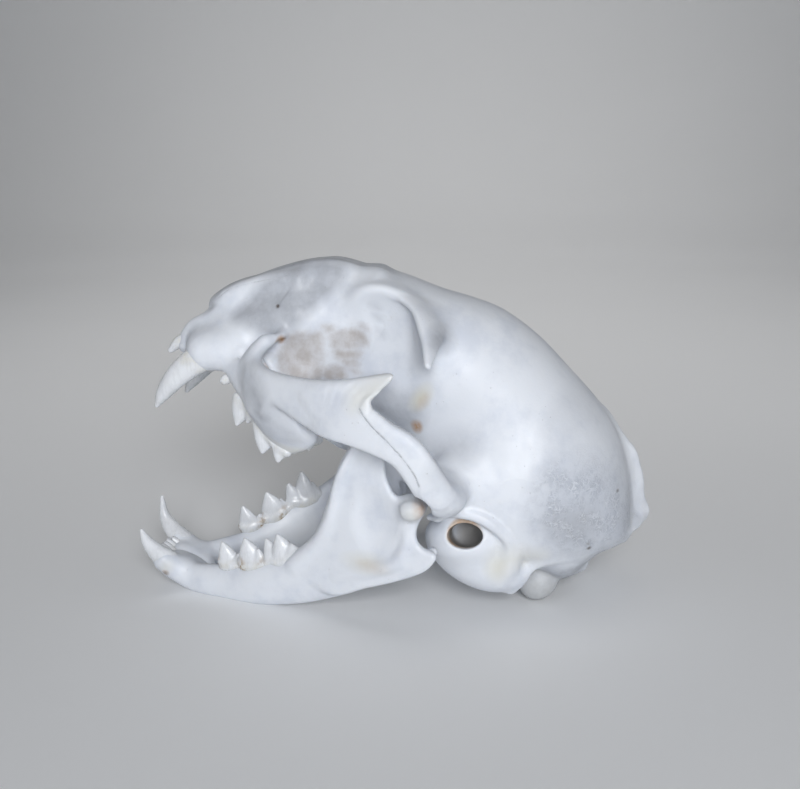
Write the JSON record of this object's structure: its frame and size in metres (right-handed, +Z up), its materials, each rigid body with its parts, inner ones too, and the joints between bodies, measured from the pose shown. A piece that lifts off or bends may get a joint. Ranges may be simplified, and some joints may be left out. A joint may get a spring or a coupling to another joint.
{
  "type": "cat skull",
  "caption": "Life-size cat skull with its lower jaw wide open, resting on its chin and the back of its base, for display and study.",
  "frame": {"origin": "centre of the bounding box's bottom face, on the surface that the skull rests on", "axes": "+X towards the skull's left side, +Y towards the back of the head, +Z up as it rests; the teeth point along -Y"},
  "size_m": [0.066, 0.099, 0.0645],
  "materials": {
    "rostrum": "dry cleaned bone, semi-matt, with faint seams and stains",
    "orbital_region": "dry cleaned bone, semi-matt, with faint seams and stains",
    "braincase": "dry cleaned bone, semi-matt, with faint seams and stains",
    "occiput": "dry cleaned bone, semi-matt, with faint seams and stains",
    "zygomatic_arch_left": "dry cleaned bone, semi-matt, with faint seams and stains",
    "zygomatic_arch_right": "dry cleaned bone, semi-matt, with faint seams and stains",
    "auditory_bulla_left": "dry cleaned bone, semi-matt, with faint seams and stains",
    "auditory_bulla_right": "dry cleaned bone, semi-matt, with faint seams and stains",
    "mandible_left": "dry cleaned bone, semi-matt, with faint seams and stains",
    "mandible_right": "dry cleaned bone, semi-matt, with faint seams and stains"
  },
  "bodies": {
    "root": {"rostrum": "rostrum", "orbital_region": "orbital_region", "braincase": "braincase", "occiput": "occiput", "zygomatic_arch_left": "zygomatic_arch_left", "zygomatic_arch_right": "zygomatic_arch_right", "auditory_bulla_left": "auditory_bulla_left", "auditory_bulla_right": "auditory_bulla_right", "mandible_left": "mandible_left", "mandible_right": "mandible_right"}
  },
  "joints": []
}
